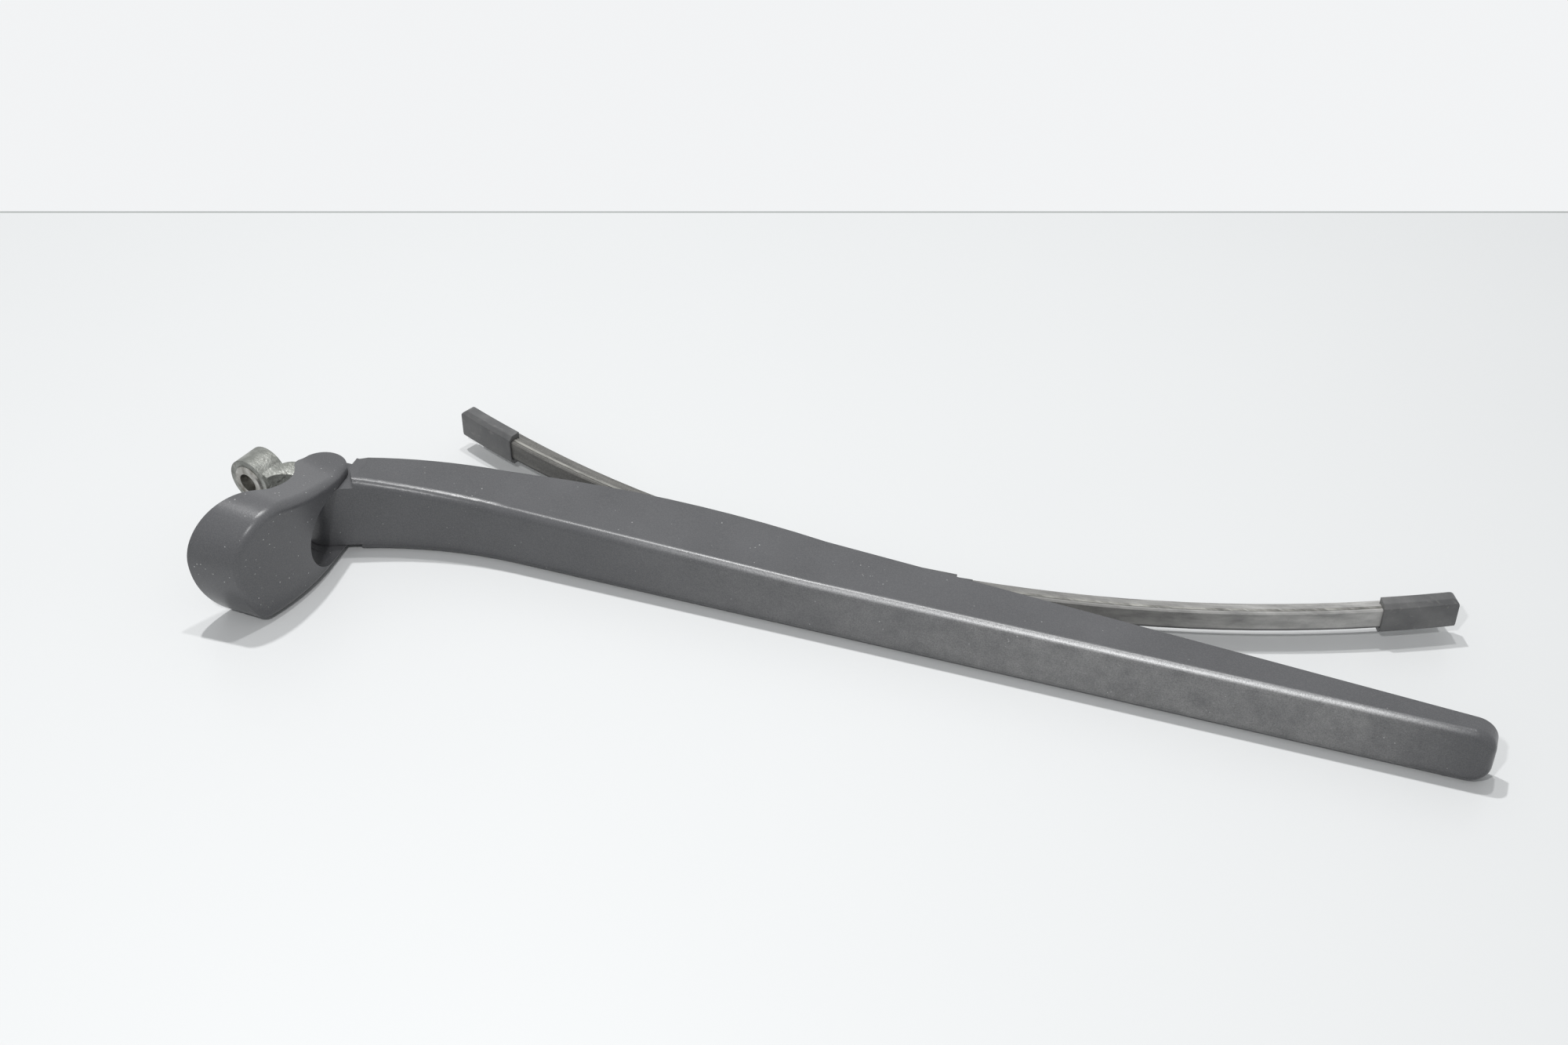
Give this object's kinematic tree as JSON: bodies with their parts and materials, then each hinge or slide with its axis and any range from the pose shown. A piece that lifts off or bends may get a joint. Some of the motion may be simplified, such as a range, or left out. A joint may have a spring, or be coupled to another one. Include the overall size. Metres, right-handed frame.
{
  "type": "rear window wiper",
  "caption": "Rear window wiper: clamp-on head with hinged cover, moulded channel arm on a spring-loaded hinge, and a flat blade that rocks under it.",
  "frame": {"origin": "centre of the head's bore, half way through the cast eye", "axes": "+Y along the bore into the glass, +X from the bore along the head towards the hinge and arm, +Z across the arm; the arm's flat lower side faces -Z"},
  "size_m": [0.4015, 0.2259, 0.0433],
  "materials": {
    "cast_zinc": "dull as-cast zinc with grime",
    "turned_steel": "turned, slightly tarnished",
    "bearing_plastic": "natural acetal, satin",
    "arm_plastic": "fine matte grain",
    "spring_steel": "oiled spring wire",
    "blade_rubber": "dusty matte rubber",
    "rail_steel": "rolled strip, dusty",
    "black_steel": "black stoved paint",
    "clip_plastic": "satin"
  },
  "bodies": {
    "head": {"hub_casting": "cast_zinc", "spline_sleeve": "turned_steel", "anchor_pin": "turned_steel", "hinge_pin": "turned_steel", "washer_lower": "turned_steel", "washer_upper": "turned_steel"},
    "arm": {"arm_shell": "arm_plastic", "bush_lower": "bearing_plastic", "bush_upper": "bearing_plastic", "spring_post": "turned_steel", "blade_pin": "turned_steel", "tension_spring": "spring_steel"},
    "cover": {"head_cap": "arm_plastic"},
    "blade": {"wiper_rubber": "blade_rubber", "rail_upper": "rail_steel", "rail_lower": "rail_steel", "centre_clamp": "black_steel", "end_cap_left": "clip_plastic", "end_cap_right": "clip_plastic", "blade_clip": "clip_plastic", "clip_bush": "bearing_plastic"}
  },
  "joints": [
    {"name": "arm_lift", "type": "hinge", "parent": "head", "child": "arm", "pos_m": [0.0245, 0.006, -0.005], "axis": [0, 0, 1], "range_deg": [-35, 0], "stiffness_Nm_per_rad": 0.12, "springref_deg": 51.57, "deforming": ["tension_spring"]},
    {"name": "cover_hinge", "type": "hinge", "parent": "head", "child": "cover", "pos_m": [0.0245, 0.006, -0.005], "axis": [0, 0, 1], "range_deg": [-88, 0]},
    {"name": "blade_rock", "type": "hinge", "parent": "arm", "child": "blade", "pos_m": [0.20843, 0.07413, -0.00975], "axis": [0, 0, 1], "range_deg": [-8, 6]}
  ]
}
